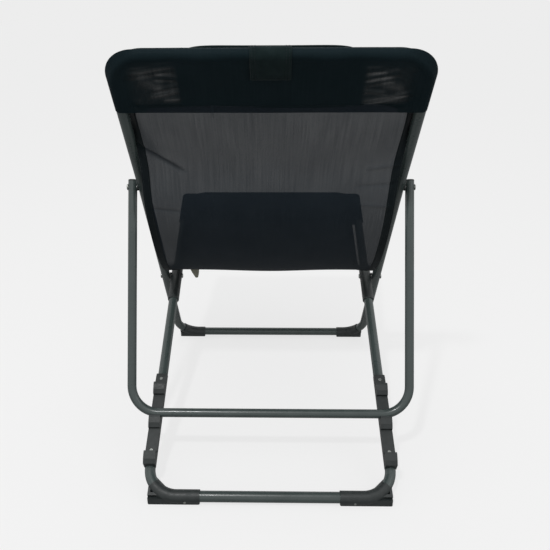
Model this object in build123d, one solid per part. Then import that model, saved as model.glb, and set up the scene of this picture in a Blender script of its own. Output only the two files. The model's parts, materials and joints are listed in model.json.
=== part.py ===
from build123d import *
import os
from math import atan2, cos, degrees, radians, sin

# Folding camp chair: two crossing tube frames, a swinging support bail and a mesh sling.
# +Z is up and the sitter looks towards -Y. The side view is drawn in (depth, height):
# depth runs forward from the axis of the rear floor bar, height runs up from the ground.

# ---- driving dimensions, millimetres and degrees ----
ORIGIN_DEPTH = 400.8     # depth of the row origin, midway between the rear and front edges
FRAME_TUBE = 22.0        # outside diameter of both main frames
BAIL_TUBE = 19.0
TUBE_WALL = 1.2
SEAT_WIDTH = 494.0       # widths are between tube centre lines
BACK_WIDTH = 550.0
BAIL_WIDTH = 596.0
CORNER_BEND = 60.0       # centre line radius of the frame corners
BAIL_BEND = 58.0
BAIL_OVERRUN = 13.0      # the bail's tube ends this far past its pivot
KINK_BEND = 400.0        # gentle bend in the back frame beside the bail pivot
BAR_HEIGHT = 13.4        # axis of both floor bars above the ground
SEAT_SLOPE = 26.0
SEAT_LENGTH = 887.0      # rear floor bar to front seat bar
PIVOT_ALONG = 579.0      # rear floor bar to the crossing, along the seat frame
FRONT_BAR_DEPTH = 680.0
BAIL_PIVOT_UP = 340.0    # crossing to bail pivot, along the back frame
HEAD_LENGTH = 339.0      # bail pivot to top bar
HEAD_SLOPE = 55.5

NOTCHES = (90.0, 170.5, 251.0)   # rack notch centres along the rear legs
NOTCH_RISE = 25.0                # notch centre above the leg's axis
TOOTH_TIP = 31.0
TOOTH_LENGTH = 32.0
NOTCH_GAP = 0.4                  # play around the crossbar in its notch
RACK_START = 58.0
RACK_END = 275.0
RACK_WIDTH = 24.2
RACK_FLOOR = NOTCH_RISE - BAIL_TUBE / 2 - NOTCH_GAP

COLLAR_OD = 28.0
COLLAR_BELOW = 81.0
COLLAR_ABOVE = 31.0
FOOT_OD = 26.6
REAR_FOOT_LENGTH = 107.0   # from the leg's centre line, in along the floor bar
FRONT_FOOT_LENGTH = 76.0
FOOT_INSET = 2.6         # the foot's outer end stops short of the leg's centre line
FOOT_HALF_DEPTH = 9.0
FOOT_TURN = 52.0         # how far the foot's saddle follows the corner bend
REAR_WEB_RISE = 44.0     # how far the web under the bend runs up along the leg
FRONT_WEB_RISE = 14.0
WEB_LENGTH = 52.0        # of the web along the floor bar
WEB_THICKNESS = 14.0
WEB_RIM = 5.0            # walls round the recess in the web's upper face
RECESS_DEPTH = 10.0
REAR_SCREW_IN = 29.0     # foot screws, from the foot's inner end
FRONT_SCREW_IN = 14.0
FOOT_SCREW_HEIGHT = 8.0
FOOT_SCREW_DEPTH = 11.8  # their seats, from the floor bar's axis
FOOT_SCREW_HOLE = 1.6    # radius
FOOT_SCREW_BORE = 2.9    # radius of the counterbore round the head
FIT_GAP = 0.03           # between a moulding and the tube it grips
RUNNING_GAP = 0.05       # radial play of a shank in its hole
SEAM_ON_BACK = 150.0     # tube seams, measured from the crossing
SEAM_ON_SEAT = 48.0
SPIGOT_LENGTH = 70.0

PIVOT_SHANK = 8.0
PIVOT_HEAD = 13.0
PIVOT_HEAD_RISE = 2.2

SLING_WIDTH = 520.0
SEAT_CLOTH_WIDTH = 470.0   # the sling is cut narrower where it hangs between the seat tubes
CLOTH = 1.6
HOOD_DEPTH = 130.0
POCKET_DEPTH = 108.0
SLEEVE_GAP = 0.6
SLEEVE_WIDTH = 578.0     # the hood, over the back frame's tubes
POCKET_WIDTH = 521.0     # the front pocket, over the seat frame's tubes
HOOD_CORNER = 50.0
POCKET_CORNER = 14.0
SPLIT_GAP = 1.0          # between the sleeves and the sling panels sewn to them
PILLOW_WIDTH = 332.0
PILLOW_HEIGHT = 140.0
PILLOW_THICKNESS = 50.0
PILLOW_ROUND = 22.0
PILLOW_DROP = 26.0       # top of the pillow below the hood's top edge
STRAP_WIDTH = 70.0
STRAP_DROP = 42.0        # how far the strap runs down the rear of the hood
STRAP_HEM = 4.0          # its front end, below the top bar's axis
SOFT_GAP = 0.6           # between soft parts that lie on each other
LABEL_SIZE = (22.0, 0.8, 24.0)
LABEL_X = 196.0
LABEL_AT = (500.0, 283.5)   # side-view centre of the blank care label, hanging under the sling

SIDES = {"left": 1, "right": -1}   # the sitter's left is +X


# ---- side-view geometry ----
def step(start, angle, distance):
    return (start[0] + distance * cos(radians(angle)), start[1] + distance * sin(radians(angle)))


REAR_BAR = (0.0, BAR_HEIGHT)
FRONT_BAR = (FRONT_BAR_DEPTH, BAR_HEIGHT)
CROSSING = step(REAR_BAR, SEAT_SLOPE, PIVOT_ALONG)
SEAT_FRONT = step(REAR_BAR, SEAT_SLOPE, SEAT_LENGTH)
BACK_ANGLE = degrees(atan2(CROSSING[1] - FRONT_BAR[1], CROSSING[0] - FRONT_BAR[0]))
HEAD_ANGLE = 180 - HEAD_SLOPE
BAIL_PIVOT = step(CROSSING, BACK_ANGLE, BAIL_PIVOT_UP)
TOP_BAR = step(BAIL_PIVOT, HEAD_ANGLE, HEAD_LENGTH)
CROSSBAR = step(step(REAR_BAR, SEAT_SLOPE, NOTCHES[1]), SEAT_SLOPE + 90, NOTCH_RISE)
BAIL_ANGLE = degrees(atan2(BAIL_PIVOT[1] - CROSSBAR[1], BAIL_PIVOT[0] - CROSSBAR[0]))


def place(x, point):
    return Vector(x, ORIGIN_DEPTH - point[0], point[1])


def side_plane(x=0.0):
    return Plane(origin=(x, ORIGIN_DEPTH, 0), x_dir=(0, -1, 0), z_dir=(-1, 0, 0))


def frame_plane(point, angle):
    """Local x is the row's x, local y runs along the frame at this side-view angle."""
    along = Vector(0, -cos(radians(angle)), sin(radians(angle)))
    return Plane(origin=place(0, point), x_dir=(1, 0, 0), z_dir=Vector(1, 0, 0).cross(along))


def rod(x_from, x_to, point, diameter):
    start = Plane(origin=place(x_from, point), z_dir=(1, 0, 0))
    return extrude(start * Circle(diameter / 2), x_to - x_from)


def both_sides(solid):
    return [solid, mirror(solid, about=Plane.YZ)]


def write(name, *solids):
    shape = solids[0] if len(solids) == 1 else Compound(children=list(solids))
    export_step(shape, f"parts/{name}.step")


# ---- tubes ----
def u_path(points, half_width, corner):
    """A U in the row: down one side through the points, across, and back up the other side."""
    left = [place(half_width, point) for point in points]
    right = [place(-half_width, point) for point in reversed(points)]
    bends = [KINK_BEND] * (len(points) - 2)
    return FilletPolyline(*left, *right, radius=bends + [corner, corner] + bends)


def tube(path, outside, wall=TUBE_WALL):
    start = Plane(origin=path @ 0, z_dir=path % 0)
    body = sweep(start * Circle(outside / 2), path=path)
    return body - sweep(start * Circle(outside / 2 - wall), path=path)


def cross_holes(solid, point, diameter):
    return solid - rod(-320, 320, point, diameter)


class Foot:
    """One pair of feet: where they sit, their sizes, and which way their screws face (1 is rearwards)."""

    def __init__(self, half_width, bar, angle, length, web_rise, screw_in, facing):
        self.half_width = half_width
        self.bar = bar
        self.angle = angle
        self.length = length
        self.web_rise = web_rise
        self.screw_x = half_width - length + screw_in
        self.facing = facing

    def screw_seat(self, side=1):
        point = (self.bar[0] - self.facing * FOOT_SCREW_DEPTH, FOOT_SCREW_HEIGHT)
        return Plane(origin=place(side * self.screw_x, point), z_dir=(0, self.facing, 0))

    def drill(self, solid):
        for side in (1, -1):
            solid -= self.screw_seat(side) * Cylinder(FOOT_SCREW_HOLE, 9)
        return solid


REAR_FOOT = Foot(SEAT_WIDTH / 2, REAR_BAR, SEAT_SLOPE, REAR_FOOT_LENGTH, REAR_WEB_RISE, REAR_SCREW_IN, 1)
FRONT_FOOT = Foot(
    BACK_WIDTH / 2, FRONT_BAR, BACK_ANGLE, FRONT_FOOT_LENGTH, FRONT_WEB_RISE, FRONT_SCREW_IN, -1)
SEAT_SEAM = step(CROSSING, SEAT_SLOPE + 180, SEAM_ON_SEAT)
BACK_SEAM = step(CROSSING, BACK_ANGLE, SEAM_ON_BACK)
SHANK_HOLE = PIVOT_SHANK + 2 * RUNNING_GAP

back_upper = tube(u_path([BACK_SEAM, BAIL_PIVOT, TOP_BAR], BACK_WIDTH / 2, CORNER_BEND), FRAME_TUBE)
back_upper = cross_holes(back_upper, BAIL_PIVOT, SHANK_HOLE)
back_lower = tube(u_path([BACK_SEAM, FRONT_BAR], BACK_WIDTH / 2, CORNER_BEND), FRAME_TUBE)
back_lower = cross_holes(back_lower, CROSSING, SHANK_HOLE)
back_lower = FRONT_FOOT.drill(back_lower)
seat_front = tube(u_path([SEAT_SEAM, SEAT_FRONT], SEAT_WIDTH / 2, CORNER_BEND), FRAME_TUBE)
seat_front = cross_holes(seat_front, CROSSING, SHANK_HOLE)
seat_rear = tube(u_path([SEAT_SEAM, REAR_BAR], SEAT_WIDTH / 2, CORNER_BEND), FRAME_TUBE)
seat_rear = REAR_FOOT.drill(seat_rear)

bail_top = step(BAIL_PIVOT, BAIL_ANGLE, BAIL_OVERRUN)
bail = tube(u_path([bail_top, CROSSBAR], BAIL_WIDTH / 2, BAIL_BEND), BAIL_TUBE)
bail = cross_holes(bail, BAIL_PIVOT, SHANK_HOLE)

write("back_frame_upper_tube", back_upper)
write("back_frame_lower_tube", back_lower)
write("seat_frame_front_tube", seat_front)
write("seat_frame_rear_tube", seat_rear)
write("bail_tube", bail)


# ---- spigots inside the tube seams, and the bail's end caps ----
def straight(x, point, angle, length, diameter):
    along = Vector(0, -cos(radians(angle)), sin(radians(angle)))
    return extrude(Plane(origin=place(x, point), z_dir=along) * Circle(diameter / 2), length)


def spigot(x, seam, angle):
    start = step(seam, angle, -SPIGOT_LENGTH / 2)
    outside = FRAME_TUBE - 2 * TUBE_WALL - 2 * FIT_GAP
    sleeve = straight(x, start, angle, SPIGOT_LENGTH, outside)
    return sleeve - straight(x, start, angle, SPIGOT_LENGTH, outside - 2 * TUBE_WALL)


def end_cap(x):
    bore = BAIL_TUBE - 2 * TUBE_WALL - 2 * FIT_GAP
    plug = straight(x, step(bail_top, BAIL_ANGLE, -4), BAIL_ANGLE, 4.2, bore)
    lid = straight(x, step(bail_top, BAIL_ANGLE, 0.05), BAIL_ANGLE, 3.2, BAIL_TUBE)
    lid = chamfer(lid.edges().filter_by(GeomType.CIRCLE).sort_by(Axis.Z)[-1], 0.8)
    return plug + lid


write("back_frame_spigots", *both_sides(spigot(BACK_WIDTH / 2, BACK_SEAM, BACK_ANGLE)))
write("seat_frame_spigots", *both_sides(spigot(SEAT_WIDTH / 2, SEAT_SEAM, SEAT_SLOPE)))
for side, sign in SIDES.items():
    write(f"bail_end_cap_{side}", end_cap(sign * BAIL_WIDTH / 2))


def bend_point(half_width, bar, angle, turn):
    """A point on the corner's centre line, turned this far from the floor bar towards the leg."""
    x = half_width - CORNER_BEND + CORNER_BEND * sin(radians(turn))
    return place(x, step(bar, angle, CORNER_BEND * (1 - cos(radians(turn)))))


def corner_pipe(half_width, bar, angle, turn, run_in, diameter):
    """Round bar that follows the corner from a turn of the bend to a point along the floor bar."""
    ends = [bend_point(half_width, bar, angle, share * turn) for share in (0, 0.5, 1)]
    path = Line(place(half_width - run_in, bar), ends[0]) + ThreePointArc(*ends)
    start = Plane(origin=path @ 0, z_dir=path % 0)
    return sweep(start * Circle(diameter / 2), path=path)


# ---- toothed racks on the rear legs ----
def rack_profile():
    """Drawn in (along the leg, above the leg's axis): hooked teeth that open towards the pivot."""
    plate = Polyline(
        (RACK_START, 1), (RACK_START, RACK_FLOOR), (RACK_END - 9, RACK_FLOOR), (RACK_END, 12), (RACK_END, 1),
        close=True,
    )
    profile = make_face(plate)
    bar = BAIL_TUBE / 2 + NOTCH_GAP
    for notch in NOTCHES:
        heel = notch - TOOTH_LENGTH
        tooth = Polyline(
            (heel, RACK_FLOOR - 2), (heel, 21), (heel + 8, 27), (heel + 19, TOOTH_TIP),
            (notch - 5, TOOTH_TIP), (notch, RACK_FLOOR - 2),
            close=True,
        )
        profile += make_face(tooth)
        throat = Rectangle(2 * bar, 2 * bar, align=(Align.CENTER, Align.MIN))
        profile -= Pos(notch, NOTCH_RISE) * Circle(bar)
        profile -= Pos(notch, NOTCH_RISE) * Rot(0, 0, -45) * throat
    return profile


def leg_plane(x):
    along = Vector(0, -cos(radians(SEAT_SLOPE)), sin(radians(SEAT_SLOPE)))
    return Plane(origin=place(x, REAR_BAR), x_dir=along, z_dir=(-1, 0, 0))


def on_leg(x, along, rise):
    return leg_plane(x).from_local_coords(Vector(along, rise, 0))


RACK_SCREWS = (NOTCHES[0], NOTCHES[2] + 10)


def screw(head, direction, head_d, shank_d, length):
    """A countersunk cross-head screw: its head's face is at the given point, facing direction."""
    face = Plane(origin=head, z_dir=direction)
    cone = Cone(shank_d / 2, head_d / 2, 2.0, align=(Align.CENTER, Align.CENTER, Align.MAX))
    shank = Cylinder(shank_d / 2, length, align=(Align.CENTER, Align.CENTER, Align.MAX))
    slots = Box(head_d * 0.6, 0.8, 1.6) + Box(0.8, head_d * 0.6, 1.6)
    return face * (cone + shank - slots)


leg_up = Vector(0, sin(radians(SEAT_SLOPE)), cos(radians(SEAT_SLOPE)))


def rack():
    """The +x rack: saddled on the leg, with counterbored screw holes in its end notches."""
    x = SEAT_WIDTH / 2
    solid = extrude(leg_plane(x) * rack_profile(), RACK_WIDTH / 2, both=True)
    solid -= straight(x, REAR_BAR, SEAT_SLOPE, 400, FRAME_TUBE + 2 * FIT_GAP)
    for along in RACK_SCREWS:
        head = on_leg(x, along, RACK_FLOOR)
        solid -= Plane(origin=head, z_dir=leg_up) * Cylinder(3.6, 4.6)
        solid -= screw(head, leg_up, 7.1, 3.6, 8)
    return solid


left_rack, right_rack = both_sides(rack())
write("rack_left", left_rack)
write("rack_right", right_rack)

rack_screws = []
for side, sign in SIDES.items():
    for along in RACK_SCREWS:
        head = on_leg(sign * SEAT_WIDTH / 2, along, RACK_FLOOR - 0.4)
        rack_screws.append(screw(head, leg_up, 6.9, 3.2, RACK_FLOOR - FRAME_TUBE / 2 - 0.6))
write("rack_screws", *rack_screws)


# ---- moulded pivot collars on the seat frame, where the frames cross ----
def collar(x):
    start = step(CROSSING, SEAT_SLOPE, -COLLAR_BELOW)
    length = COLLAR_BELOW + COLLAR_ABOVE
    sleeve = straight(x, start, SEAT_SLOPE, length, COLLAR_OD)
    sleeve = chamfer(sleeve.edges().filter_by(GeomType.CIRCLE), 1.2)
    sleeve -= straight(x, start, SEAT_SLOPE, length, FRAME_TUBE + 2 * FIT_GAP)
    return cross_holes(sleeve, CROSSING, SHANK_HOLE)


for side, sign in SIDES.items():
    write(f"pivot_collar_{side}", collar(sign * SEAT_WIDTH / 2))


# ---- rivets, washers and spacers ----
def domed_head(x, outward, point):
    base = Plane(origin=place(x, point), z_dir=(outward, 0, 0))
    dome = Cylinder(PIVOT_HEAD / 2, PIVOT_HEAD_RISE, align=(Align.CENTER, Align.CENTER, Align.MIN))
    return base * fillet(dome.edges().sort_by(Axis.Z)[-1], PIVOT_HEAD_RISE * 0.7)


def rivet(sign, inner, outer, point):
    """A shank along x from the inner face to the outer face, with a domed head on each end."""
    low, high = sorted((sign * inner, sign * outer))
    shank = rod(low, high, point, PIVOT_SHANK)
    return shank + domed_head(sign * inner, -sign, point) + domed_head(sign * outer, sign, point)


def washer(sign, inner, outer, point, diameter):
    low, high = sorted((sign * inner, sign * outer))
    return rod(low, high, point, diameter) - rod(low - 1, high + 1, point, SHANK_HOLE)


collar_inner = SEAT_WIDTH / 2 - COLLAR_OD / 2
collar_outer = SEAT_WIDTH / 2 + COLLAR_OD / 2
back_inner = BACK_WIDTH / 2 - FRAME_TUBE / 2
back_outer = BACK_WIDTH / 2 + FRAME_TUBE / 2
bail_inner = BAIL_WIDTH / 2 - BAIL_TUBE / 2
bail_outer = BAIL_WIDTH / 2 + BAIL_TUBE / 2
for side, sign in SIDES.items():
    write(f"main_pivot_rivet_{side}", rivet(sign, collar_inner - 0.3, back_outer + 0.05, CROSSING))
    write(f"bail_pivot_rivet_{side}", rivet(sign, back_inner - 0.05, bail_outer + 0.3, BAIL_PIVOT))
write("pivot_washers", *[washer(s, collar_outer + 0.3, back_inner - 0.05, CROSSING, 18) for s in (1, -1)])
write("bail_spacers", *[washer(s, back_outer + 0.05, bail_inner - 0.3, BAIL_PIVOT, 15) for s in (1, -1)])


# ---- moulded feet, gripping the corner bends and the ends of the floor bars ----
def in_frame(foot, outline, thickness):
    """A plate outlined in (x, distance up the leg): thickened downwards, or upwards if negative."""
    return extrude(frame_plane(foot.bar, foot.angle) * make_face(Polyline(*outline, close=True)), thickness)


def foot_moulding(foot):
    """The foot on the +x corner: saddle, sole block, and a recessed web under the bend."""
    saddle = corner_pipe(foot.half_width, foot.bar, foot.angle, FOOT_TURN, foot.length, FOOT_OD)
    outer = foot.half_width - FOOT_INSET
    length = foot.length - FOOT_INSET
    sole = Pos(outer - length / 2, ORIGIN_DEPTH - foot.bar[0], BAR_HEIGHT / 2) * Box(
        length, 2 * FOOT_HALF_DEPTH, BAR_HEIGHT)
    sole = fillet(sole.edges().filter_by(Axis.Z), 3)
    inner = outer - WEB_LENGTH
    rise = foot.web_rise
    outline = [(outer, -1), (outer, rise), (outer - 8, rise), (inner, 4), (inner, -1)]
    web = in_frame(foot, outline, WEB_THICKNESS / 2) + in_frame(foot, outline, -WEB_THICKNESS / 2)
    hollow = [(outer - WEB_RIM, WEB_RIM), (outer - WEB_RIM, rise + 1), (inner, rise + 1), (inner, WEB_RIM)]
    recess = in_frame(foot, hollow, -WEB_THICKNESS) + in_frame(foot, hollow, RECESS_DEPTH - WEB_THICKNESS / 2)
    tube_space = corner_pipe(
        foot.half_width, foot.bar, foot.angle, 90, foot.length + 20, FRAME_TUBE + 2 * FIT_GAP)
    bore = Cylinder(FOOT_SCREW_BORE, 4, align=(Align.CENTER, Align.CENTER, Align.MIN))
    screw_space = foot.screw_seat() * (Cylinder(FOOT_SCREW_HOLE, 9) + bore)
    return sole + (web - recess) + saddle - tube_space - screw_space


def foot_screw(foot):
    """A small pan-head screw through the foot's wall into the floor bar."""
    head = Cylinder(2.6, 1.3, align=(Align.CENTER, Align.CENTER, Align.MIN))
    head = Pos(0, 0, 0.03) * fillet(head.edges().sort_by(Axis.Z)[-1], 0.8)
    shank = Pos(0, 0, 0.5) * Cylinder(1.5, 4.7, align=(Align.CENTER, Align.CENTER, Align.MAX))
    cross = Pos(0, 0, 1.4) * (Box(2.8, 0.6, 0.9) + Box(0.6, 2.8, 0.9))
    return foot.screw_seat() * (head + shank - cross)


for end, foot in {"rear": REAR_FOOT, "front": FRONT_FOOT}.items():
    left_foot, right_foot = both_sides(foot_moulding(foot))
    write(f"{end}_foot_left", left_foot)
    write(f"{end}_foot_right", right_foot)
    write(f"{end}_foot_screws", *both_sides(foot_screw(foot)))


# ---- soft parts: plain closed solids that hold their space ----
SLEEVE_HALF = FRAME_TUBE / 2 + SLEEVE_GAP + CLOTH


def cloth_band(points, width):
    """A thin curved sheet through side-view points, as wide as the sling."""
    count = len(points)
    lower = []
    for index, point in enumerate(points):
        before = points[max(index - 1, 0)]
        after = points[min(index + 1, count - 1)]
        angle = degrees(atan2(after[1] - before[1], after[0] - before[0]))
        lower.append(step(point, angle - 90, CLOTH))
    top = Spline(*points)
    bottom = Spline(*lower)
    edges = [top, bottom, Line(points[0], lower[0]), Line(points[-1], lower[-1])]
    return extrude(side_plane() * make_face(edges), width / 2, both=True)


def sleeve(point, angle, depth, width, corner):
    """A flat bag drawn over the end of a frame: open at its inner edge, closed round the other three."""
    plane = frame_plane(point, angle)

    def slab(grow, mouth):
        height = depth + SLEEVE_HALF - grow + mouth
        outline = Rectangle(width - 2 * grow, height, align=(Align.CENTER, Align.MIN))
        outline = Pos(0, -depth - mouth) * outline
        outline = fillet(outline.vertices().sort_by(Axis.Y)[-2:], corner - grow)
        return extrude(plane * outline, SLEEVE_HALF - grow, both=True)

    return slab(0, 0) - slab(CLOTH, 10)


HOOD_SPLIT = step(TOP_BAR, HEAD_ANGLE + 180, HOOD_DEPTH + SPLIT_GAP)
POCKET_SPLIT = step(SEAT_FRONT, SEAT_SLOPE + 180, POCKET_DEPTH + SPLIT_GAP)
HANG_FROM_HOOD = step(HOOD_SPLIT, HEAD_ANGLE + 90, 4)
HANG_FROM_POCKET = step(POCKET_SPLIT, SEAT_SLOPE + 90, SLEEVE_HALF + SPLIT_GAP)
BACK_LINE = [
    HANG_FROM_HOOD, (263, 628), (291, 518), (335, 433), (387, 366), (446, 317)]
SEAT_LINE = [
    (486, 301.5), (521, 298.5), (561, 309), (621, 334.5), HANG_FROM_POCKET]
write("sling_hood", sleeve(TOP_BAR, HEAD_ANGLE, HOOD_DEPTH, SLEEVE_WIDTH, HOOD_CORNER))
write("sling_front_pocket", sleeve(SEAT_FRONT, SEAT_SLOPE, POCKET_DEPTH, POCKET_WIDTH, POCKET_CORNER))
write("sling_back_panel", cloth_band(BACK_LINE, SLING_WIDTH))
write("sling_seat_panel", cloth_band(SEAT_LINE, SEAT_CLOTH_WIDTH))


def pillow():
    """Crowned cushion that lies on the front of the hood, facing the sitter's head."""
    plane = frame_plane(TOP_BAR, HEAD_ANGLE)
    middle = SLEEVE_HALF - PILLOW_DROP - PILLOW_HEIGHT / 2
    forward = SLEEVE_HALF + SOFT_GAP + PILLOW_THICKNESS / 2
    block = Box(PILLOW_WIDTH, PILLOW_HEIGHT, PILLOW_THICKNESS)
    block = fillet(block.edges(), PILLOW_ROUND)
    return plane * Pos(0, middle, forward) * block


def pillow_strap():
    """Flat tab from the pillow's top edge, over the top bar, down the rear of the hood."""
    inner = SLEEVE_HALF + 0.5
    outer = inner + CLOTH
    along = Vector(cos(radians(HEAD_ANGLE)), sin(radians(HEAD_ANGLE)))
    front = Vector(sin(radians(HEAD_ANGLE)), -cos(radians(HEAD_ANGLE)))
    middle = Vector(*TOP_BAR)

    def at(up, forward):
        point = middle + along * up + front * forward
        return (point.X, point.Y)

    outline = Polyline(
        at(-STRAP_DROP, -inner), at(inner, -inner), at(inner, inner), at(-STRAP_HEM, inner),
        at(-STRAP_HEM, outer), at(outer, outer), at(outer, -outer), at(-STRAP_DROP, -outer),
        close=True,
    )
    return extrude(side_plane() * make_face(outline), STRAP_WIDTH / 2, both=True)


write("pillow", pillow())
write("pillow_strap", pillow_strap())

write("care_label", Pos(place(LABEL_X, LABEL_AT)) * Box(*LABEL_SIZE))
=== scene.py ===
import json
from math import cos, pi, radians, sin

import bmesh
import bpy
import numpy as np
from mathutils import Euler, Matrix, Vector


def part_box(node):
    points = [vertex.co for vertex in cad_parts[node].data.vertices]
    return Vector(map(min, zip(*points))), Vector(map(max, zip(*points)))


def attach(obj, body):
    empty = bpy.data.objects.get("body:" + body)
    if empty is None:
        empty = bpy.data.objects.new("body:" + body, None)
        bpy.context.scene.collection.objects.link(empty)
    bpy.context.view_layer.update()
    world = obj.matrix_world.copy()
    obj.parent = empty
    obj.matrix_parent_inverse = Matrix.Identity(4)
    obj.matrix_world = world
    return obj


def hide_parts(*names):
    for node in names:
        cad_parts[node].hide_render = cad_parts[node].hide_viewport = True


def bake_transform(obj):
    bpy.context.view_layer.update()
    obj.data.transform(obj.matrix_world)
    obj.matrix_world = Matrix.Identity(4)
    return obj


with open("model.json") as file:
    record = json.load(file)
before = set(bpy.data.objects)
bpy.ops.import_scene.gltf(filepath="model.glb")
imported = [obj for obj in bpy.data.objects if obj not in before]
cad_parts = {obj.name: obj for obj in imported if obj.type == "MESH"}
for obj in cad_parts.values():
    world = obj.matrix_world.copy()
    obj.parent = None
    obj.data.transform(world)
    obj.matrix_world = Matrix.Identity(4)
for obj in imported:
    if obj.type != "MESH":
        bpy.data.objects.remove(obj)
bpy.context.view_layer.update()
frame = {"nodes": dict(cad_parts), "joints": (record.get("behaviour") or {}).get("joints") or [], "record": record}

# ---- places taken from the frame, metres ----
TUBE = 0.011                                 # radius of the main frame tubes
rear_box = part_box("seat_frame_rear_tube")
front_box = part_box("seat_frame_front_tube")
back_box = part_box("back_frame_upper_tube")
hinge = next(j for j in frame["joints"] if j["name"] == "fold")["pos_m"]
bail_hinge = next(j for j in frame["joints"] if j["name"] == "bail_swing")["pos_m"]
REAR_Y = rear_box[1][1] - TUBE               # axis of the rear floor bar
CROSSING = (REAR_Y - hinge[1], hinge[2])     # side-view points are (depth, height), forward and up
TOP_BAR = (REAR_Y - (back_box[1][1] - TUBE), back_box[1][2] - TUBE)
SEAT_BAR = (REAR_Y - (front_box[0][1] + TUBE), front_box[1][2] - TUBE)
BAIL_PIVOT = (REAR_Y - bail_hinge[1], bail_hinge[2])

SLING_HALF = 0.2605
HEM_WIDTH = 0.017


def unit(a, b):
    v = np.array(b) - np.array(a)
    return v / np.hypot(*v)


def row(x, point):
    """A side-view point (depth, height) at this x, in the row frame."""
    return np.array([x, REAR_Y - point[0], point[1]])


HEAD_UP = unit(BAIL_PIVOT, TOP_BAR)          # along the back frame's head end
SEAT_OUT = unit(CROSSING, SEAT_BAR)          # along the seat frame, towards the front bar
HEAD_REAR = np.array([-HEAD_UP[1], HEAD_UP[0]])
SEAT_OVER = np.array([-SEAT_OUT[1], SEAT_OUT[0]])
HOOD_DEPTH = 0.126
POCKET_DEPTH = 0.108
SEAM = 0.0016                                # half thickness of a sleeve at its sewn mouth
BACK_HALF = 0.275                            # from the middle to a back frame leg's centre line
SEAT_HALF = 0.247                            # the same on the seat frame
FRAME_BEND = 0.060                           # centre line radius of the frame's corners
LEG_REACH = 0.034                            # how far from a leg the cloth still lies over it


# ---- materials ----
class Shader:
    """A node material with short helpers. Patterns come from the row frame or from the cloth map."""

    def __init__(self, name, color, roughness, metallic=0.0):
        self.material = bpy.data.materials.new(name)
        self.material.use_nodes = True
        self.tree = self.material.node_tree
        self.shader = self.tree.nodes["Principled BSDF"]
        self.set("Base Color", (*color, 1))
        self.set("Roughness", roughness)
        self.set("Metallic", metallic)
        self.normal = None

    def set(self, socket, value):
        self.shader.inputs[socket].default_value = value

    def node(self, kind, **values):
        made = self.tree.nodes.new(kind)
        for key, value in values.items():
            if key in made.inputs:
                made.inputs[key].default_value = value
            else:
                setattr(made, key, value)
        return made

    def link(self, source, target):
        self.tree.links.new(source, target)
        return target

    def place(self, scale=(1, 1, 1), cloth=False):
        source = self.node("ShaderNodeUVMap", uv_map="cloth") if cloth else self.node("ShaderNodeTexCoord")
        mapping = self.node("ShaderNodeMapping", Scale=scale)
        self.link(source.outputs["UV" if cloth else "Object"], mapping.inputs["Vector"])
        return mapping.outputs["Vector"]

    def noise(self, size, scale=(1, 1, 1), detail=2.0, cloth=False):
        made = self.node("ShaderNodeTexNoise", Scale=1 / size, Detail=detail, Roughness=0.5)
        self.link(self.place(scale, cloth), made.inputs["Vector"])
        return made.outputs["Fac"]

    def waves(self, pitch, direction, cloth=True):
        made = self.node("ShaderNodeTexWave", Scale=pi / (10 * pitch), wave_type="BANDS")
        made.bands_direction = direction
        made.wave_profile = "SIN"
        self.link(self.place(cloth=cloth), made.inputs["Vector"])
        return made.outputs["Fac"]

    def math(self, operation, a, b):
        made = self.node("ShaderNodeMath", operation=operation)
        for index, value in enumerate((a, b)):
            if isinstance(value, (int, float)):
                made.inputs[index].default_value = value
            else:
                self.link(value, made.inputs[index])
        return made.outputs["Value"]

    def span(self, factor, low, high, low_at=0.0, high_at=1.0):
        made = self.node("ShaderNodeMapRange")
        made.inputs["From Min"].default_value = low_at
        made.inputs["From Max"].default_value = high_at
        made.inputs["To Min"].default_value = low
        made.inputs["To Max"].default_value = high
        self.link(factor, made.inputs["Value"])
        return made.outputs["Result"]

    def ramp(self, factor, low, high, low_at=0.3, high_at=0.7):
        made = self.node("ShaderNodeValToRGB")
        made.color_ramp.elements[0].position = low_at
        made.color_ramp.elements[1].position = high_at
        made.color_ramp.elements[0].color = (*low, 1)
        made.color_ramp.elements[1].color = (*high, 1)
        self.link(factor, made.inputs["Fac"])
        return made.outputs["Color"]

    def color(self, output):
        self.link(output, self.shader.inputs["Base Color"])

    def drive(self, socket, output):
        self.link(output, self.shader.inputs[socket])

    def bump(self, height, distance, strength=1.0):
        made = self.node("ShaderNodeBump", Strength=strength, Distance=distance)
        self.link(height, made.inputs["Height"])
        if self.normal:
            self.link(self.normal, made.inputs["Normal"])
        self.normal = made.outputs["Normal"]
        self.link(self.normal, self.shader.inputs["Normal"])


def paint():
    """Smooth satin grey-green powder coat: a faint orange peel and slightly uneven sheen."""
    s = Shader("frame_paint", (0.040, 0.054, 0.051), 0.30)
    s.color(s.ramp(s.noise(0.05, detail=2), (0.036, 0.049, 0.047), (0.044, 0.058, 0.056)))
    s.drive("Roughness", s.span(s.noise(0.02, detail=2), 0.25, 0.34, 0.3, 0.7))
    s.bump(s.noise(0.0016, detail=2), 0.00004, 0.35)
    s.set("Specular IOR Level", 0.5)
    s.set("Coat Weight", 0.10)
    s.set("Coat Roughness", 0.12)
    return s.material


def plastic(name, color, lighter):
    """Moulded nylon: fine spark-eroded grain and slightly scuffed, lighter patches."""
    s = Shader(name, color, 0.5)
    s.color(s.ramp(s.noise(0.010, detail=5), color, lighter, 0.35, 0.75))
    s.drive("Roughness", s.span(s.noise(0.005, detail=3), 0.42, 0.6, 0.3, 0.7))
    s.bump(s.noise(0.0006, detail=1), 0.00006, 0.6)
    return s.material


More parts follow.
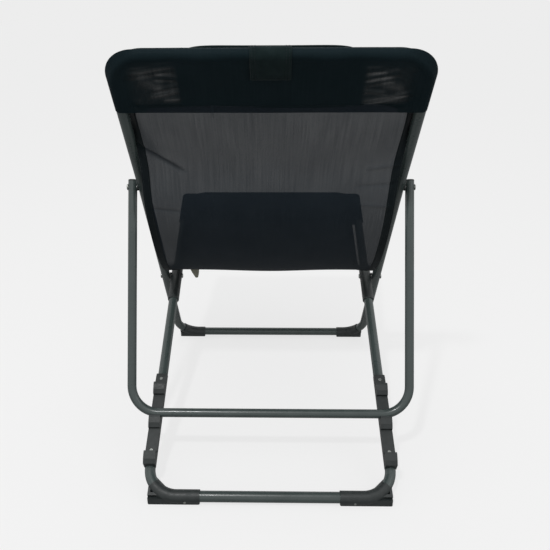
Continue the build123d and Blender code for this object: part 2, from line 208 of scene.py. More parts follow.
def steel():
    """Zinc-plated steel with fine turning marks and dulled spots."""
    s = Shader("plated_steel", (0.30, 0.31, 0.30), 0.3, 1.0)
    s.color(s.ramp(s.noise(0.003, detail=4), (0.22, 0.24, 0.23), (0.38, 0.39, 0.37)))
    s.drive("Roughness", s.span(s.noise(0.002, detail=3), 0.22, 0.45, 0.3, 0.7))
    s.bump(s.noise(0.0005, detail=1), 0.00004, 0.5)
    return s.material


def mesh_cloth(name, opacity, color, lighter, specular):
    """PVC-coated mesh: warp and weft yarns with small gaps that let a little light through."""
    s = Shader(name, color, 0.6)
    warp = s.waves(YARN_PITCH, "X")
    weft = s.waves(YARN_PITCH, "Y")
    yarn = s.math("MAXIMUM", warp, weft)
    streak = s.noise(0.0022, scale=(1, 0.02, 1), detail=3, cloth=True)
    cloud = s.noise(0.09, detail=3, cloth=True)
    tone = s.math("ADD", s.math("MULTIPLY", streak, 0.5), s.math("MULTIPLY", cloud, 0.5))
    s.color(s.ramp(tone, color, lighter, 0.38, 0.62))
    s.drive("Roughness", s.span(yarn, 0.72, 0.55))
    gaps = s.span(yarn, 2.6, 0.55, 0.35, 1.0)
    patchy = s.span(cloud, 0.93, 1.07, 0.35, 0.65)
    uneven = s.math("MULTIPLY", s.span(streak, 0.84, 1.16, 0.35, 0.65), patchy)
    through = s.math("MULTIPLY", s.math("MULTIPLY", gaps, 1 - opacity), uneven)
    # the openness attribute also carries painted shade: on the sling's folds and creases it lets less light
    # through and darkens the cloth
    openness_and_shade = s.node("ShaderNodeAttribute", attribute_name="openness")
    through = s.math("MULTIPLY", through, openness_and_shade.outputs["Fac"])
    s.drive("Alpha", s.math("SUBTRACT", 1.0, through))
    s.bump(yarn, 0.0003, 0.55)
    s.set("Specular IOR Level", specular)
    s.set("Sheen Weight", 0.01)
    s.set("Sheen Roughness", 0.5)
    return s.material


def solid_cloth(name, color, lighter, pitch, cloth, sheen=0.06):
    """Woven polyester: a tight over-and-under weave with soft sheen and uneven dye."""
    s = Shader(name, color, 0.8)
    s.color(s.ramp(s.noise(0.02, detail=5, cloth=cloth), color, lighter, 0.35, 0.7))
    if cloth:
        weave = s.math("MULTIPLY", s.waves(pitch, "X"), s.waves(pitch, "Y"))
    else:
        weave = s.math("MULTIPLY", s.waves(pitch, "X", False), s.waves(pitch, "DIAGONAL", False))
    s.bump(weave, 0.0003, 0.5)
    s.bump(s.noise(0.012, detail=3, cloth=cloth), 0.0006, 0.4)
    s.set("Specular IOR Level", 0.08)
    s.set("Sheen Weight", sheen)
    s.set("Sheen Roughness", 0.45)
    return s.material


YARN_PITCH = 0.0016                          # of the mesh, one yarn to the next
PAINT = paint()
PLASTIC = plastic("black_plastic", (0.010, 0.014, 0.014), (0.018, 0.023, 0.023))
STEEL = steel()
MESH = mesh_cloth("mesh_fabric", 0.966, (0.0085, 0.0135, 0.0185), (0.0120, 0.0175, 0.0230), 0.07)
HOOD = mesh_cloth("hood_fabric", 0.90, (0.0056, 0.0118, 0.0145), (0.0078, 0.0148, 0.0180), 0.03)
HEM = solid_cloth("hem_fabric", (0.0035, 0.0065, 0.0080), (0.0060, 0.0095, 0.0110), 0.0012, True)
PILLOW = solid_cloth("pillow_fabric", (0.022, 0.038, 0.033), (0.036, 0.056, 0.048), 0.0011, False, 0.15)
STRAP = solid_cloth("strap_fabric", (0.0040, 0.0100, 0.0105), (0.0080, 0.0160, 0.0165), 0.0012, True)
THREAD = solid_cloth("thread", (0.0080, 0.0130, 0.0150), (0.0140, 0.0200, 0.0220), 0.0005, False)
LABEL = solid_cloth("label_fabric", (0.19, 0.19, 0.15), (0.25, 0.25, 0.20), 0.0009, True)

FINISHES = {"frame_paint": PAINT, "black_plastic": PLASTIC, "plated_steel": STEEL}
for entry in frame["record"]["subparts"]:
    finish = FINISHES.get(entry["material_slot"])
    if finish:
        node = frame["nodes"][entry["node"]]
        node.data.materials.clear()
        node.data.materials.append(finish)


# ---- mesh helpers ----
BAND_WELD = 0.00002
SLEEVE_WELD = 0.00005
STITCH_PITCH = 0.0042
STITCH_LENGTH = 0.0030
STITCH_RADIUS = 0.00042
STITCH_SIDES = 6
STITCH_RINGS = ((-0.5, 0.35), (-0.3, 1.0), (0.3, 1.0), (0.5, 0.35))    # place along it, share of the radius


def grid_piece(name, points, uv, material):
    """A smooth sheet from a (rows, columns, 3) array, with its cloth map in metres."""
    rows, columns = points.shape[:2]
    index = np.arange(rows * columns).reshape(rows, columns)
    quads = np.stack([index[:-1, :-1], index[:-1, 1:], index[1:, 1:], index[1:, :-1]], -1).reshape(-1, 4)
    mesh = bpy.data.meshes.new(name)
    mesh.from_pydata(points.reshape(-1, 3).tolist(), [], quads.tolist())
    layer = mesh.uv_layers.new(name="cloth")
    flat = uv.reshape(-1, 2)
    corners = np.array([loop.vertex_index for loop in mesh.loops])
    layer.data.foreach_set("uv", flat[corners].astype(np.float32).ravel())
    mesh.polygons.foreach_set("use_smooth", [True] * len(mesh.polygons))
    mesh.materials.append(material)
    piece = bpy.data.objects.new(name, mesh)
    bpy.context.scene.collection.objects.link(piece)
    return piece


def set_openness(piece, values):
    """How open the weave is at each point: 1 lies flat, lower where it is doubled; on the sling, the lower values
    in its folds and creases are painted shade.
    """
    layer = piece.data.attributes.new("openness", "FLOAT", "POINT")
    layer.data.foreach_set("value", np.clip(values, 0, 2).astype(np.float32).ravel())


def weld(piece, distance, close=False):
    """Joins points closer than this, fills the open ends if asked, and turns the faces outwards."""
    edit = bmesh.new()
    edit.from_mesh(piece.data)
    bmesh.ops.remove_doubles(edit, verts=edit.verts, dist=distance)
    if close:
        bmesh.ops.holes_fill(edit, edges=[e for e in edit.edges if e.is_boundary])
    bmesh.ops.recalc_face_normals(edit, faces=edit.faces)
    edit.to_mesh(piece.data)
    edit.free()


def ribbon(name, path, across, width, thickness, material):
    """A flat band with rounded edges along a path; across is one direction for the whole band."""
    rounding = 10
    path = np.array(path)
    along = np.gradient(path, axis=0)
    along /= np.linalg.norm(along, axis=1)[:, None]
    across = np.array(across, float)
    normal = np.cross(along, across)
    turn = np.linspace(0, 2 * pi, 2 * rounding + 1)
    wide = np.sign(np.cos(turn)) * np.abs(np.cos(turn)) ** 0.35 * width / 2
    thick = np.sin(turn) * thickness / 2
    points = path[:, None] + wide[None, :, None] * across + thick[None, :, None] * normal[:, None]
    length = np.r_[0, np.cumsum(np.linalg.norm(np.diff(path, axis=0), axis=1))]
    uv = np.stack(np.broadcast_arrays(wide[None, :], length[:, None]), -1)
    piece = grid_piece(name, points, uv, material)
    weld(piece, BAND_WELD, close=True)
    return piece


def smooth_line(points, count):
    """Evenly spaced points on a centripetal Catmull-Rom curve through these points."""
    points = np.array(points, float)
    ends = np.vstack([2 * points[0] - points[1], points, 2 * points[-1] - points[-2]])
    dense = []
    for p0, p1, p2, p3 in zip(ends, ends[1:], ends[2:], ends[3:]):
        t0 = 0.0
        t1 = t0 + np.linalg.norm(p1 - p0) ** 0.5
        t2 = t1 + np.linalg.norm(p2 - p1) ** 0.5
        t3 = t2 + np.linalg.norm(p3 - p2) ** 0.5
        t = np.linspace(t1, t2, 40, endpoint=False)[:, None]
        a1 = (t1 - t) / (t1 - t0) * p0 + (t - t0) / (t1 - t0) * p1
        a2 = (t2 - t) / (t2 - t1) * p1 + (t - t1) / (t2 - t1) * p2
        a3 = (t3 - t) / (t3 - t2) * p2 + (t - t2) / (t3 - t2) * p3
        b1 = (t2 - t) / (t2 - t0) * a1 + (t - t0) / (t2 - t0) * a2
        b2 = (t3 - t) / (t3 - t1) * a2 + (t - t1) / (t3 - t1) * a3
        dense.append((t2 - t) / (t2 - t1) * b1 + (t - t1) / (t2 - t1) * b2)
    dense = np.vstack(dense + [points[-1:]])
    length = np.r_[0, np.cumsum(np.linalg.norm(np.diff(dense, axis=0), axis=1))]
    even = np.linspace(0, length[-1], count)
    return np.stack([np.interp(even, length, dense[:, i]) for i in range(dense.shape[1])], 1), length[-1]


def stitches(name, path, rise):
    """A row of thread stitches along a path, each a small spindle that stands proud along rise."""
    run = sum(np.linalg.norm(np.diff(np.array(path), axis=0), axis=1))
    path, _ = smooth_line(path, max(int(run / STITCH_PITCH), 2))
    along = np.gradient(path, axis=0)
    along /= np.linalg.norm(along, axis=1)[:, None]
    rise = np.array(rise, float)
    if rise.ndim == 1:
        rise = np.tile(rise, (len(path), 1))
    else:
        new, old = np.linspace(0, 1, len(path)), np.linspace(0, 1, len(rise))
        rise = np.stack([np.interp(new, old, rise[:, i]) for i in range(3)], 1)
    turns = np.linspace(0, 2 * pi, STITCH_SIDES, endpoint=False)
    vertices, faces = [], []
    for point, forward, up in zip(path, along, rise):
        side = np.cross(forward, up)
        side /= np.linalg.norm(side)
        base = len(vertices)
        for share, fat in STITCH_RINGS:
            for turn in turns:
                ring = side * cos(turn) + up * sin(turn)
                vertices.append(point + forward * STITCH_LENGTH * share + ring * STITCH_RADIUS * fat)
        last = base + STITCH_SIDES * (len(STITCH_RINGS) - 1)
        for near in range(base, last, STITCH_SIDES):
            far = near + STITCH_SIDES
            for i in range(STITCH_SIDES):
                j = (i + 1) % STITCH_SIDES
                faces.append((near + i, near + j, far + j, far + i))
        faces.append(tuple(base + i for i in reversed(range(STITCH_SIDES))))
        faces.append(tuple(last + i for i in range(STITCH_SIDES)))
    mesh = bpy.data.meshes.new(name)
    mesh.from_pydata([tuple(v) for v in vertices], [], faces)
    mesh.polygons.foreach_set("use_smooth", [True] * len(mesh.polygons))
    mesh.materials.append(THREAD)
    piece = bpy.data.objects.new(name, mesh)
    bpy.context.scene.collection.objects.link(piece)
    return piece


# ---- camera, light and floor ----
def camera():
    """Behind the chair, a little above its top, looking down at it."""
    data = bpy.data.cameras.new("camera")
    data.sensor_width = 36
    data.lens = 39.27
    data.shift_x = 0.0236
    made = bpy.data.objects.new("camera", data)
    roll = Matrix.Rotation(radians(-0.25), 3, "Z")
    turn = Euler((radians(66.38), 0, radians(181.02))).to_matrix() @ roll
    made.matrix_world = Matrix.Translation((-0.0029, REAR_Y + 0.920, 0.8994)) @ turn.to_4x4()
    bpy.context.scene.collection.objects.link(made)
    bpy.context.scene.camera = made


def soft_light(name, place, size, power):
    data = bpy.data.lights.new(name, "AREA")
    data.shape = "DISK"
    data.size = size
    data.energy = power
    made = bpy.data.objects.new(name, data)
    made.location = place
    made.rotation_euler = (Vector((0, 0, 0.35)) - Vector(place)).to_track_quat("-Z", "Y").to_euler()
    bpy.context.scene.collection.objects.link(made)


BACKDROP = 0.846                             # linear grey of the paper sweep
UNDERLIGHT = 0.34                            # light that reaches the chair from below


def studio():
    """A pale sweep, even light that is weaker from below, and three soft lights for shape."""
    world = bpy.data.worlds.new("studio")
    world.use_nodes = True
    background = world.node_tree.nodes["Background"]
    background.inputs["Color"].default_value = (1.0, 1.0, 1.0, 1)
    tree = world.node_tree
    facing = tree.nodes.new("ShaderNodeTexCoord")
    parts = tree.nodes.new("ShaderNodeSeparateXYZ")
    level = tree.nodes.new("ShaderNodeMapRange")
    level.inputs["From Min"].default_value = -0.25
    level.inputs["From Max"].default_value = -0.02
    level.inputs["To Min"].default_value = UNDERLIGHT
    level.inputs["To Max"].default_value = BACKDROP
    tree.links.new(facing.outputs["Generated"], parts.inputs["Vector"])
    tree.links.new(parts.outputs["Z"], level.inputs["Value"])
    tree.links.new(level.outputs["Result"], background.inputs["Strength"])
    bpy.context.scene.world = world
    bpy.context.scene.view_settings.view_transform = "Standard"
    mesh = bpy.data.meshes.new("floor")
    reach = 60
    mesh.from_pydata([(-reach, -reach, 0), (reach, -reach, 0), (reach, reach, 0), (-reach, reach, 0)],
                     [], [(0, 1, 2, 3)])
    paper = 0.16
    shade = Shader("floor_paper", (paper, paper, paper), 1.0)
    shade.set("Specular IOR Level", 0.0)
    shade.set("Emission Color", (1.0, 1.0, 1.0, 1))
    shade.set("Emission Strength", BACKDROP * (1 - paper))
    mesh.materials.append(shade.material)
    floor = bpy.data.objects.new("floor", mesh)
    bpy.context.scene.collection.objects.link(floor)
    floor.visible_diffuse = False
    floor.visible_glossy = False
    soft_light("key_light", (0.66, REAR_Y + 1.2, 3.0), 0.2, 38)
    soft_light("fill_light", (-1.9, REAR_Y + 0.9, 2.0), 1.2, 4)
    soft_light("front_light", (0.4, -2.6, 2.2), 2.0, 1.5)


# ---- the sling: one sheet from the head seam down, under the sitter, to the front seam ----
def along_frame(bar, direction, distance, off, amount):
    return np.array(bar) + direction * distance + off * amount


# side-view points that the sling hangs through, from below the head seam to before the front seam
HANG = ((0.263, 0.628), (0.291, 0.518), (0.335, 0.433), (0.387, 0.366), (0.446, 0.317),
        (0.486, 0.3015), (0.521, 0.2985), (0.561, 0.309), (0.621, 0.3345))


def sling_line():
    head_seam = along_frame(TOP_BAR, -HEAD_UP, HOOD_DEPTH - 0.020, HEAD_REAR, 0.0012)
    front_seam = along_frame(SEAT_BAR, -SEAT_OUT, POCKET_DEPTH - 0.014, SEAT_OVER, 0.0118)
    return smooth_line([head_seam, *HANG, front_seam], 221)


LINE, SLING_LENGTH = sling_line()
LINE_S = np.linspace(0, SLING_LENGTH, len(LINE))
LINE_WAY = np.gradient(LINE, axis=0)
LINE_WAY /= np.linalg.norm(LINE_WAY, axis=1)[:, None]
LINE_UNDER = np.stack([LINE_WAY[:, 1], -LINE_WAY[:, 0]], 1)    # away from the sitter
FOLD_AT = LINE_S[np.argmin(LINE[:, 1])]      # where the sling turns, under the sitter
SEAT_SHARE = 0.9                             # width of the seat part, as a share of the cut width


def ease(value, low, high):
    share = np.clip((value - low) / (high - low), 0, 1)
    return share * share * (3 - 2 * share)


def near_leg(x, frame_half):
    """1 over a frame's leg, falling to 0 towards the middle."""
    return np.exp(-((np.clip(frame_half - np.abs(x), 0, None) / LEG_REACH) ** 2))


def crease(x, s, x0, s0, x1, s1, width):
    """A line on the cloth from one point to another, 1 along its middle and fading at its ends."""
    way = np.array([x1 - x0, s1 - s0])
    size = np.hypot(*way)
    along = ((x - x0) * way[0] + (s - s0) * way[1]) / size**2
    off = ((x - x0) * way[1] - (s - s0) * way[0]) / size
    from_middle = np.abs(2 * along - 1)
    fade = np.clip(1 - from_middle**4, 0, 1) * (from_middle < 1)
    return fade * np.exp(-((off / width) ** 2))


# from (x, s) to (x, s) in metres, half width, height towards the rear, and share of the weave drawn shut along the
# crease as painted shade
CREASES = (
    (0.266, 0.090, 0.168, 0.158, 0.0042, -0.0060, 0.85),
    (0.262, 0.010, 0.222, 0.128, 0.0150, -0.0030, 0.45),
    (0.255, 0.240, 0.178, 0.250, 0.0040, -0.0020, 0.30),
    (-0.190, 0.150, -0.262, 0.136, 0.0040, 0.0022, 0.25),
    (-0.262, 0.182, -0.170, 0.188, 0.0040, -0.0018, 0.20),
    (-0.262, 0.236, -0.185, 0.230, 0.0045, 0.0018, 0.20),
    (0.034, -0.010, 0.036, 0.110, 0.0022, 0.0012, 0.20),
    (0.104, -0.010, 0.103, 0.030, 0.0018, 0.0012, 0.50),
    (-0.140, -0.010, -0.120, 0.100, 0.0050, 0.0012, 0.10),
    (-0.250, FOLD_AT - 0.035, 0.250, FOLD_AT - 0.042, 0.0060, 0.0014, 0.15),
)


def sling_relief(x, s):
    """How far the cloth stands from its mean line, away from the sitter."""
    edge = np.clip(np.abs(x) / SLING_HALF, 0, 1)
    relief = 0.0022 * np.cos(x * 11) * np.exp(-((s - 0.42) / 0.2) ** 2) * (1 - edge**6)
    relief += 0.0009 * np.sin(23 * x + 9 * s) * np.sin(6 * s + 1) * (1 - edge**4)
    relief -= 0.022 * ease(edge, 0.91, 1.01) * (1 - ease(s, 0.05, 0.16))
    beside_leg = near_leg(SEAT_SHARE * np.abs(x), SEAT_HALF)
    relief += 0.0108 * (1 - beside_leg) * ease(s, SLING_LENGTH - 0.090, SLING_LENGTH - 0.012)
    for x0, s0, x1, s1, width, height, _ in CREASES:
        relief += height * crease(x, s, x0, s0, x1, s1, width)
    return relief


def sling_openness_and_shade(x, s):
    """Painted shade: the weave is drawn shut in the creases, near the edges below the head seam, and as the cloth
    turns under towards the fold, so the cloth darkens where shade falls.
    """
    # painted shade: less see-through towards the fold, lifting again past it
    openness = 1 - 0.52 * ease(s, 0.08, FOLD_AT - 0.13) - 0.46 * ease(s, FOLD_AT - 0.145, FOLD_AT - 0.085)
    openness += 0.25 * ease(s, FOLD_AT - 0.02, FOLD_AT + 0.06)
    edge = np.clip(np.abs(x) / SLING_HALF, 0, 1)
    openness *= 1 - 0.7 * ease(edge, 0.90, 1.0) * (1 - ease(s, 0.04, 0.14))
    # painted shade along each crease, as a share of the weave drawn shut
    for x0, s0, x1, s1, width, _, shade_share in CREASES:
        openness *= 1 - shade_share * crease(x, s, x0, s0, x1, s1, width)
    return openness


def cloth_at(x, s, lift=0.0):
    """Row-frame points on the sling: x as cut, s along it, lifted this far from its middle to the rear."""
    x, s, lift = np.broadcast_arrays(np.asarray(x, float), np.asarray(s, float), np.asarray(lift, float))
    under = [np.interp(s, LINE_S, LINE_UNDER[:, i]) for i in range(2)]
    line = [np.interp(s, LINE_S, LINE[:, i]) for i in range(2)]
    off = sling_relief(x, s) + lift
    width = 1 + 0.034 * (1 - ease(s, 0.03, 0.16)) - 0.100 * ease(s, FOLD_AT - 0.064, FOLD_AT - 0.020)
    drift = 0.0030 * ease(s, 0.10, 0.24) + 0.0050 * ease(s, FOLD_AT - 0.064, FOLD_AT - 0.02)
    depth = line[0] + under[0] * off
    return np.stack([x * width + drift, REAR_Y - depth, line[1] + under[1] * off], -1)


SLING_ROWS = 281


def sling():
    columns = np.linspace(-SLING_HALF, SLING_HALF, 141)
    x_grid, s_grid = np.meshgrid(columns, np.linspace(0, SLING_LENGTH, SLING_ROWS))
    uv = np.stack([x_grid, s_grid], -1)
    piece = grid_piece("sling_mesh", cloth_at(x_grid, s_grid), uv, MESH)
    set_openness(piece, sling_openness_and_shade(x_grid, s_grid))
    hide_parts("sling_back_panel", "sling_seat_panel")
    trims = []
    for side, sign in (("left", 1), ("right", -1)):
        trims.append(sling_hem(side, sign))
        for place, offset in (("inner", 0.0135), ("outer", 0.0035)):
            for face, lift in (("rear", 0.0014), ("front", -0.0014)):
                line = cloth_at(sign * (SLING_HALF - offset), LINE_S, lift)
                out = np.stack([np.zeros(len(LINE)), -LINE_UNDER[:, 0], LINE_UNDER[:, 1]], 1)
                trims.append(stitches(f"hem_stitches_{side}_{place}_{face}", line, out))
    for trim in [piece, *trims]:
        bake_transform(trim)


def sling_hem(side, sign):
    """The folded edge of the sling: a flat closed band that follows the cloth, thicker than it."""
    edge, half_thick = 0.0006, 0.0013
    outline = [(0.0, 0.0)]
    for share in np.linspace(0, 1, 7):
        outline.append((edge + share * (HEM_WIDTH - 2 * edge), half_thick))
    outline.append((HEM_WIDTH, 0.0))
    for share in np.linspace(1, 0, 7):
        outline.append((edge + share * (HEM_WIDTH - 2 * edge), -half_thick))
    outline.append(outline[0])
    inward, lift = np.array(outline).T
    s_grid = np.linspace(0, SLING_LENGTH, SLING_ROWS)[:, None]
    points = cloth_at(sign * (SLING_HALF + edge - inward[None]), s_grid, lift[None])
    uv = np.stack(np.broadcast_arrays(inward[None], s_grid), -1)
    piece = grid_piece(f"sling_hem_{side}", points, uv, HEM)
    weld(piece, BAND_WELD, close=True)
    return piece


# ---- sleeves: the head hood and the front pocket, drawn over the frame's ends ----
def outline_top(x, half, top, corner):
    """Height of the sleeve's rounded outline at x, in the sleeve's plane."""
    over = np.clip(np.abs(x) - (half - corner), 0, corner)
    return top - corner + np.sqrt(np.clip(corner**2 - over**2, 0, None))


def inset(x, y, half, top, corner):
    """Distance from a point in the sleeve's plane to its rounded outline."""
    qx = np.abs(x) - (half - corner)
    qy = y - (top - corner)
    outside = np.hypot(np.clip(qx, 0, None), np.clip(qy, 0, None))
    return corner - outside - np.clip(np.maximum(qx, qy), None, 0)


def tent(inside, axis, radius):
    """Height of cloth pulled over a tube and pinched at the outline: round, then straight."""
    whole = np.maximum(inside + axis, radius * 1.02)
    touch = radius**2 / whole
    crown = np.sqrt(np.clip(radius**2 - axis**2, 0, None))
    side = inside * radius / np.sqrt(whole**2 - radius**2)
    return np.where(axis < touch, crown, side)


def soft_max(a, b, reach):
    """The larger of two heights, with the valley between them rounded."""
    blend = np.clip(0.5 + 0.5 * (a - b) / reach, 0, 1)
    return b + (a - b) * blend + reach * blend * (1 - blend)


def sleeve(name, node, bar, way, off, half, top, corner, frame_half, depth, drawn_up, lumps,
           openness, material):
    """Two layers of mesh round a frame's end: tight over the tube, drawn together at the bottom seam."""
    radius = TUBE + 0.0009
    across = np.sin(np.linspace(-pi / 2, pi / 2, 221)) * half
    rise = np.sin(np.linspace(0, pi / 2, 81))
    sheets = []
    for side in (1, -1):
        x = np.tile(across, (len(rise), 1))
        crown = outline_top(x, half, top, corner)
        beside_leg = near_leg(x, frame_half)
        mouth = -depth + drawn_up * beside_leg
        y = mouth + (crown - mouth) * rise[:, None]
        inside = np.clip(inset(x, y, half, top, corner), 0, None)
        signed = inset(x, y, frame_half, 0.0, FRAME_BEND)
        axis = np.abs(signed)
        outer = tent(inside, axis, radius)
        level = np.clip((y - mouth) / depth, 0, 1)
        middle = SEAM + (radius - SEAM) * level**1.25
        membrane = middle + (radius - middle) * beside_leg
        bulge = np.sqrt(np.clip(radius**2 - axis**2, 0, None))
        inner = soft_max(membrane, bulge, 0.002)
        height = np.where(signed < 0, outer, np.minimum(inner, radius))
        height = height + lumps(x, y, side) * np.clip(inside / 0.012, 0, 1)
        sheets.append((x, y, side * height))
    rear, front = sheets
    x = np.vstack([rear[0], front[0][-2::-1]])
    y = np.vstack([rear[1], front[1][-2::-1]])
    z = np.vstack([rear[2], front[2][-2::-1]])
    flat = np.array(bar)[None, None] + way * y[..., None] + off * z[..., None]
    points = np.stack([x, REAR_Y - flat[..., 0], flat[..., 1]], -1)
    travel = np.vstack([rear[1], 2 * top - front[1][-2::-1]])
    piece = grid_piece(name, points, np.stack([x, travel], -1), material)
    set_openness(piece, openness(x, y))
    weld(piece, SLEEVE_WELD)
    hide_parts(node)
    return piece


# pulls on the hood, from (x, y) to (x, y) on each side of the middle, half width, and how far it stands out
HOOD_PULLS = (
    (0.252, -0.037, 0.160, -0.018, 0.0026, 0.9),
    (0.262, -0.047, 0.160, -0.027, 0.0030, 0.9),
    (0.205, -0.046, 0.160, -0.050, 0.0026, 0.8),
    (0.236, -0.053, 0.190, -0.068, 0.0090, 0.5),
    (0.214, -0.077, 0.160, -0.064, 0.0030, 0.8),
    (0.222, -0.091, 0.160, -0.077, 0.0032, 0.9),
    (0.196, -0.098, 0.160, -0.095, 0.0030, 0.9),
    (0.256, -0.104, 0.236, -0.101, 0.0030, 0.4),
)


def hood_pulls(x, y):
    """The pulls beside the pillow. Those on the right are the left ones turned upside down."""
    x, y = np.where(x < 0, -0.985 * x, x), np.where(x < 0, -0.128 - y, y)
    return sum(size * crease(x, y, x0, y0, x1, y1, width) for x0, y0, x1, y1, width, size in HOOD_PULLS)


def hood_lumps(x, y, side):
    """Slightly rising pulls beside the pillow, and soft lumps along the top bar."""
    lumps = -0.0014 * hood_pulls(x, y)
    lumps += 0.0007 * np.sin(61 * x + 1.3 * side) * np.exp(-((y + 0.004) / 0.02) ** 2)
    lumps += 0.0009 * np.sin(17 * x + 40 * y) * np.exp(-((y + 0.075) / 0.05) ** 2)
    lumps -= 0.0016 * crease(x, y, -0.285, -0.116, 0.285, -0.116, 0.0016)
    return lumps


def hood_openness(x, y):
    """The weave lets light through where it is pulled tight, clear of the pillow and the tubes."""
    beside = ease(np.abs(x), 0.158, 0.168) * (1 - ease(np.abs(x), 0.235, 0.262))
    beside *= (1 - ease(y, -0.022, -0.012)) * ease(y, -0.122, -0.106)
    return 0.10 + beside * (0.32 + 1.5 * hood_pulls(x, y))


def pocket_openness(x, y):
    return np.full_like(x, 0.7)


def pocket_lumps(x, y, side):
    return 0.0006 * np.sin(33 * x + 40 * y) * np.exp(-((y + 0.05) / 0.04) ** 2)


SLEEVE_TOP = 0.0124                          # how far a sleeve's end is beyond its bar's axis


def hood():
    piece = sleeve("sling_hood_fabric", "sling_hood", TOP_BAR, HEAD_UP, HEAD_REAR,
                   0.2876, SLEEVE_TOP, 0.056, BACK_HALF, HOOD_DEPTH, 0.009, hood_lumps, hood_openness, HOOD)
    trims = sleeve_trims("hood", TOP_BAR, HEAD_UP, HEAD_REAR, 0.286, HOOD_DEPTH)
    for part in [piece, *trims]:
        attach(part, "back_frame")


def pocket():
    piece = sleeve("sling_pocket_fabric", "sling_front_pocket", SEAT_BAR, SEAT_OUT, SEAT_OVER,
                   0.2612, SLEEVE_TOP, 0.014, SEAT_HALF, POCKET_DEPTH, 0.0, pocket_lumps, pocket_openness,
                   MESH)
    trims = sleeve_trims("pocket", SEAT_BAR, SEAT_OUT, SEAT_OVER, 0.258, POCKET_DEPTH)
    for part in [piece, *trims]:
        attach(part, "seat_frame")


def sleeve_trims(name, bar, way, off, half, depth):
    """The two rows of stitches along the hem at a sleeve's mouth, on each of its layers."""
    trims = []
    reach = half - 0.062
    for face, side in (("rear", 1), ("front", -1)):
        for row_name, up in (("hem", 0.004), ("fold", 0.018)):
            level = up / depth
            height = side * (SEAM + (TUBE - 0.0007) * level**1.25 + 0.0010)
            centre = along_frame(bar, way, -depth + up, off, height)
            path = [row(x, centre) for x in np.linspace(-reach, reach, 60)]
            rise = row(0, np.array(centre) + off * side) - row(0, centre)
            trims.append(stitches(f"{name}_{row_name}_stitches_{face}", path, rise))
    return trims


# ---- the head pillow and its strap ----
PILLOW_UP = 0.008                            # its padding sits this much above the middle of its box


PILLOW_SIZE = (0.128, 0.036)                 # height and thickness
SIDE_PULL = 0.035                            # how far its long edges draw in at the middle, as a share


def pillow():
    """The head pillow: a crowned cover with piping round its edge, against the hood's front."""
    low, high = (np.array(c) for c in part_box("pillow"))
    width = high[0] - low[0] - 0.014
    tall, thick = PILLOW_SIZE
    middle = (low + high) / 2
    centre = np.array([REAR_Y - middle[1], middle[2]]) + HEAD_UP * PILLOW_UP
    edit = bmesh.new()
    bmesh.ops.create_grid(edit, x_segments=48, y_segments=22, size=0.5)
    mesh = bpy.data.meshes.new("pillow")
    for vertex in edit.verts:
        x, y = vertex.co.x * 2, vertex.co.y * 2
        pull = 1 - SIDE_PULL * (1 - x * x)
        vertex.co = Vector((x * width / 2 * (1 - 0.012 * (1 - y * y)), y * tall / 2 * pull, 0))
    top = edit.verts[:]
    copy = bmesh.ops.duplicate(edit, geom=edit.verts[:] + edit.edges[:] + edit.faces[:])
    other = [g for g in copy["geom"] if isinstance(g, bmesh.types.BMVert)]

    def crown(vertex, sign):
        x = min(abs(vertex.co.x) / (width / 2), 1)
        y = min(abs(vertex.co.y) / (tall / 2), 1)
        vertex.co.z = sign * thick / 2 * (max(1 - x**5, 0) * max(1 - y**3, 0)) ** 0.5

    for vertex in top:
        crown(vertex, 1)
    for vertex in other:
        crown(vertex, -1)
    bmesh.ops.remove_doubles(edit, verts=edit.verts, dist=0.0004)
    bmesh.ops.recalc_face_normals(edit, faces=edit.faces)
    edit.to_mesh(mesh)
    edit.free()
    mesh.materials.append(PILLOW)
    piece = bpy.data.objects.new("head_pillow", mesh)
    bpy.context.scene.collection.objects.link(piece)
    inflate(piece, 0.009)
    normal = row(0, np.array(centre) - HEAD_REAR) - row(0, centre)
    upward = row(0, np.array(centre) + HEAD_UP) - row(0, centre)
    turn = Matrix((np.cross(upward, normal), upward, normal)).transposed()
    place = Matrix.Translation(Vector(row(0, centre))) @ turn.to_4x4()
    piece.data.transform(place)
    settle(piece, normal)
    piece.data.polygons.foreach_set("use_smooth", [True] * len(piece.data.polygons))
    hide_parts("pillow")
    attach(piece, "back_frame")
    seam = pillow_piping(width, tall, place)
    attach(seam, "back_frame")


def inflate(piece, reach):
    """Blows the cover up as cloth, then limits how far any point rose and smooths it.

    Known fault: the cover is open along its long edges, and the remesh keeps only scraps of it.
    """
    remesh = piece.modifiers.new("remesh", "REMESH")
    remesh.mode = "VOXEL"
    remesh.voxel_size = 0.005
    apply_modifiers(piece)
    before = np.array([v.co for v in piece.data.vertices])
    cloth = piece.modifiers.new("cloth", "CLOTH")
    cloth.settings.use_pressure = True
    cloth.settings.uniform_pressure_force = 4
    cloth.settings.effector_weights.gravity = 0
    scene = bpy.context.scene
    for number in range(1, 21):
        scene.frame_set(number)
    apply_modifiers(piece)
    scene.frame_set(1)
    after = np.array([v.co for v in piece.data.vertices])
    shift = (after - before) * (0, 0, 1)
    size = np.linalg.norm(shift, axis=1)[:, None]
    after = before + shift * np.minimum(1, reach / np.maximum(size, 1e-9))
    piece.data.vertices.foreach_set("co", after.astype(np.float32).ravel())
    subdivide = piece.modifiers.new("subdivide", "SUBSURF")
    subdivide.levels = subdivide.render_levels = 1
    apply_modifiers(piece)


def apply_modifiers(piece):
    graph = bpy.context.evaluated_depsgraph_get()
    made = bpy.data.meshes.new_from_object(piece.evaluated_get(graph))
    piece.modifiers.clear()
    piece.data = made


def settle(piece, normal):
    """Flattens the pillow's back where it lies against the hood."""
    normal = Vector(normal)
    wall = Vector(row(0, along_frame(TOP_BAR, HEAD_UP, 0, -HEAD_REAR, 0.0140)))
    for vertex in piece.data.vertices:
        depth = (vertex.co - wall).dot(normal)
        if depth < 0:
            vertex.co -= normal * depth * 0.97


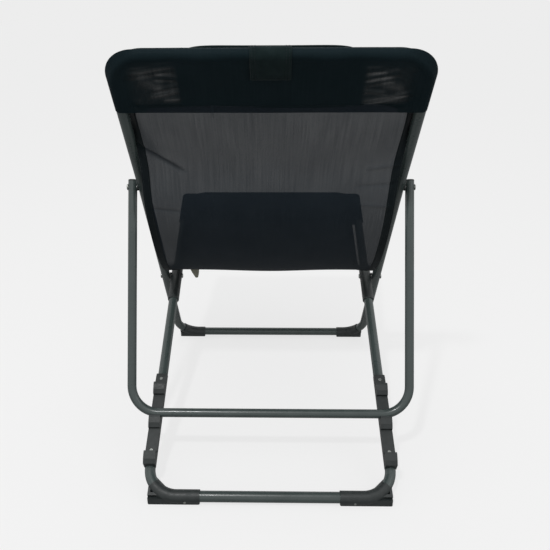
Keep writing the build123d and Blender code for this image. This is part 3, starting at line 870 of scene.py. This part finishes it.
def pillow_piping(width, tall, place):
    """Round piping sewn into the pillow's edge seam."""
    count = 200
    turn = np.linspace(0, 2 * pi, count, endpoint=False)
    x = np.sign(np.cos(turn)) * np.abs(np.cos(turn)) ** 0.28 * width / 2 * 1.003
    y = np.sign(np.sin(turn)) * np.abs(np.sin(turn)) ** 0.36 * tall / 2
    y *= 1 - SIDE_PULL * np.clip(1 - (2 * x / width) ** 2, 0, 1)
    curve = bpy.data.curves.new("pillow_piping", "CURVE")
    curve.dimensions = "3D"
    curve.bevel_depth = 0.0021
    curve.bevel_resolution = 3
    spline = curve.splines.new("POLY")
    spline.points.add(count - 1)
    for point, px, py in zip(spline.points, x, y):
        point.co = (*(place @ Vector((px, py, 0))), 1)
    spline.use_cyclic_u = True
    curve.materials.append(STRAP)
    piece = bpy.data.objects.new("pillow_piping", curve)
    bpy.context.scene.collection.objects.link(piece)
    return piece


def strap():
    """The pillow's tab: up from its top edge, over the hood, and down the rear, sewn flat."""
    radius = TUBE + 0.0034
    path = []
    for turn in np.linspace(-20, 180, 25):
        a = radians(turn)
        path.append(along_frame(TOP_BAR, HEAD_UP, radius * sin(a), -HEAD_REAR, radius * cos(a)))
    for drop, lift in ((0.012, 0.0), (0.024, -0.0006), (0.034, -0.0012), (0.041, -0.0016)):
        path.append(along_frame(TOP_BAR, HEAD_UP, -drop, HEAD_REAR, radius + lift))
    line, length = smooth_line([row(0, p) for p in path], 70)
    piece = ribbon("pillow_strap_tab", line, (1, 0, 0), 0.070, 0.0018, STRAP)
    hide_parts("pillow_strap")
    parts = [piece]
    along = np.gradient(line, axis=0)
    along /= np.linalg.norm(along, axis=1)[:, None]
    out = np.cross(along, (1, 0, 0))
    if out[-1][1] < 0:
        out = -out
    lifted = line + out * 0.0012
    for side in (1, -1):
        for offset in (0.031, 0.026):
            path = lifted + np.array([side * offset, 0, 0])
            hand = "left" if side > 0 else "right"
            label = f"strap_stitches_{hand}_{int(offset * 1000)}"
            parts.append(stitches(label, path, out))
    for number, drop in enumerate((3, 6)):
        foot = lifted[-drop]
        path = [foot + np.array([x, 0, 0]) for x in np.linspace(-0.031, 0.031, 20)]
        parts.append(stitches(f"strap_stitches_bottom_{number}", path, out[-drop]))
    for part in parts:
        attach(part, "back_frame")


# ---- the care label, left blank ----
def care_label():
    low, high = (np.array(c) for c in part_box("care_label"))
    width = high[0] - low[0]
    count = 24
    drop = np.linspace(0, high[2] - low[2] + 0.001, count)
    across = np.linspace(-1, 1, 16)
    points = np.zeros((count, len(across), 3))
    for j, fall in enumerate(drop):
        share = fall / drop[-1]
        for i, a in enumerate(across):
            narrow = 1 - 0.75 * share**1.6
            curl = 0.0035 * share**2 * (0.6 + 0.6 * a) + 0.0012 * sin(3 * share + a)
            points[j, i] = ((low[0] + high[0]) / 2 - 0.005 * share + a * width / 2 * narrow,
                            (low[1] + high[1]) / 2 + curl, high[2] + 0.001 - fall)
    uv = np.stack(np.meshgrid(across * width / 2, drop), -1)
    piece = grid_piece("care_label_flap", points, uv, LABEL)
    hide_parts("care_label")
    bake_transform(piece)


camera()
studio()
sling()
hood()
pocket()
pillow()
strap()
care_label()
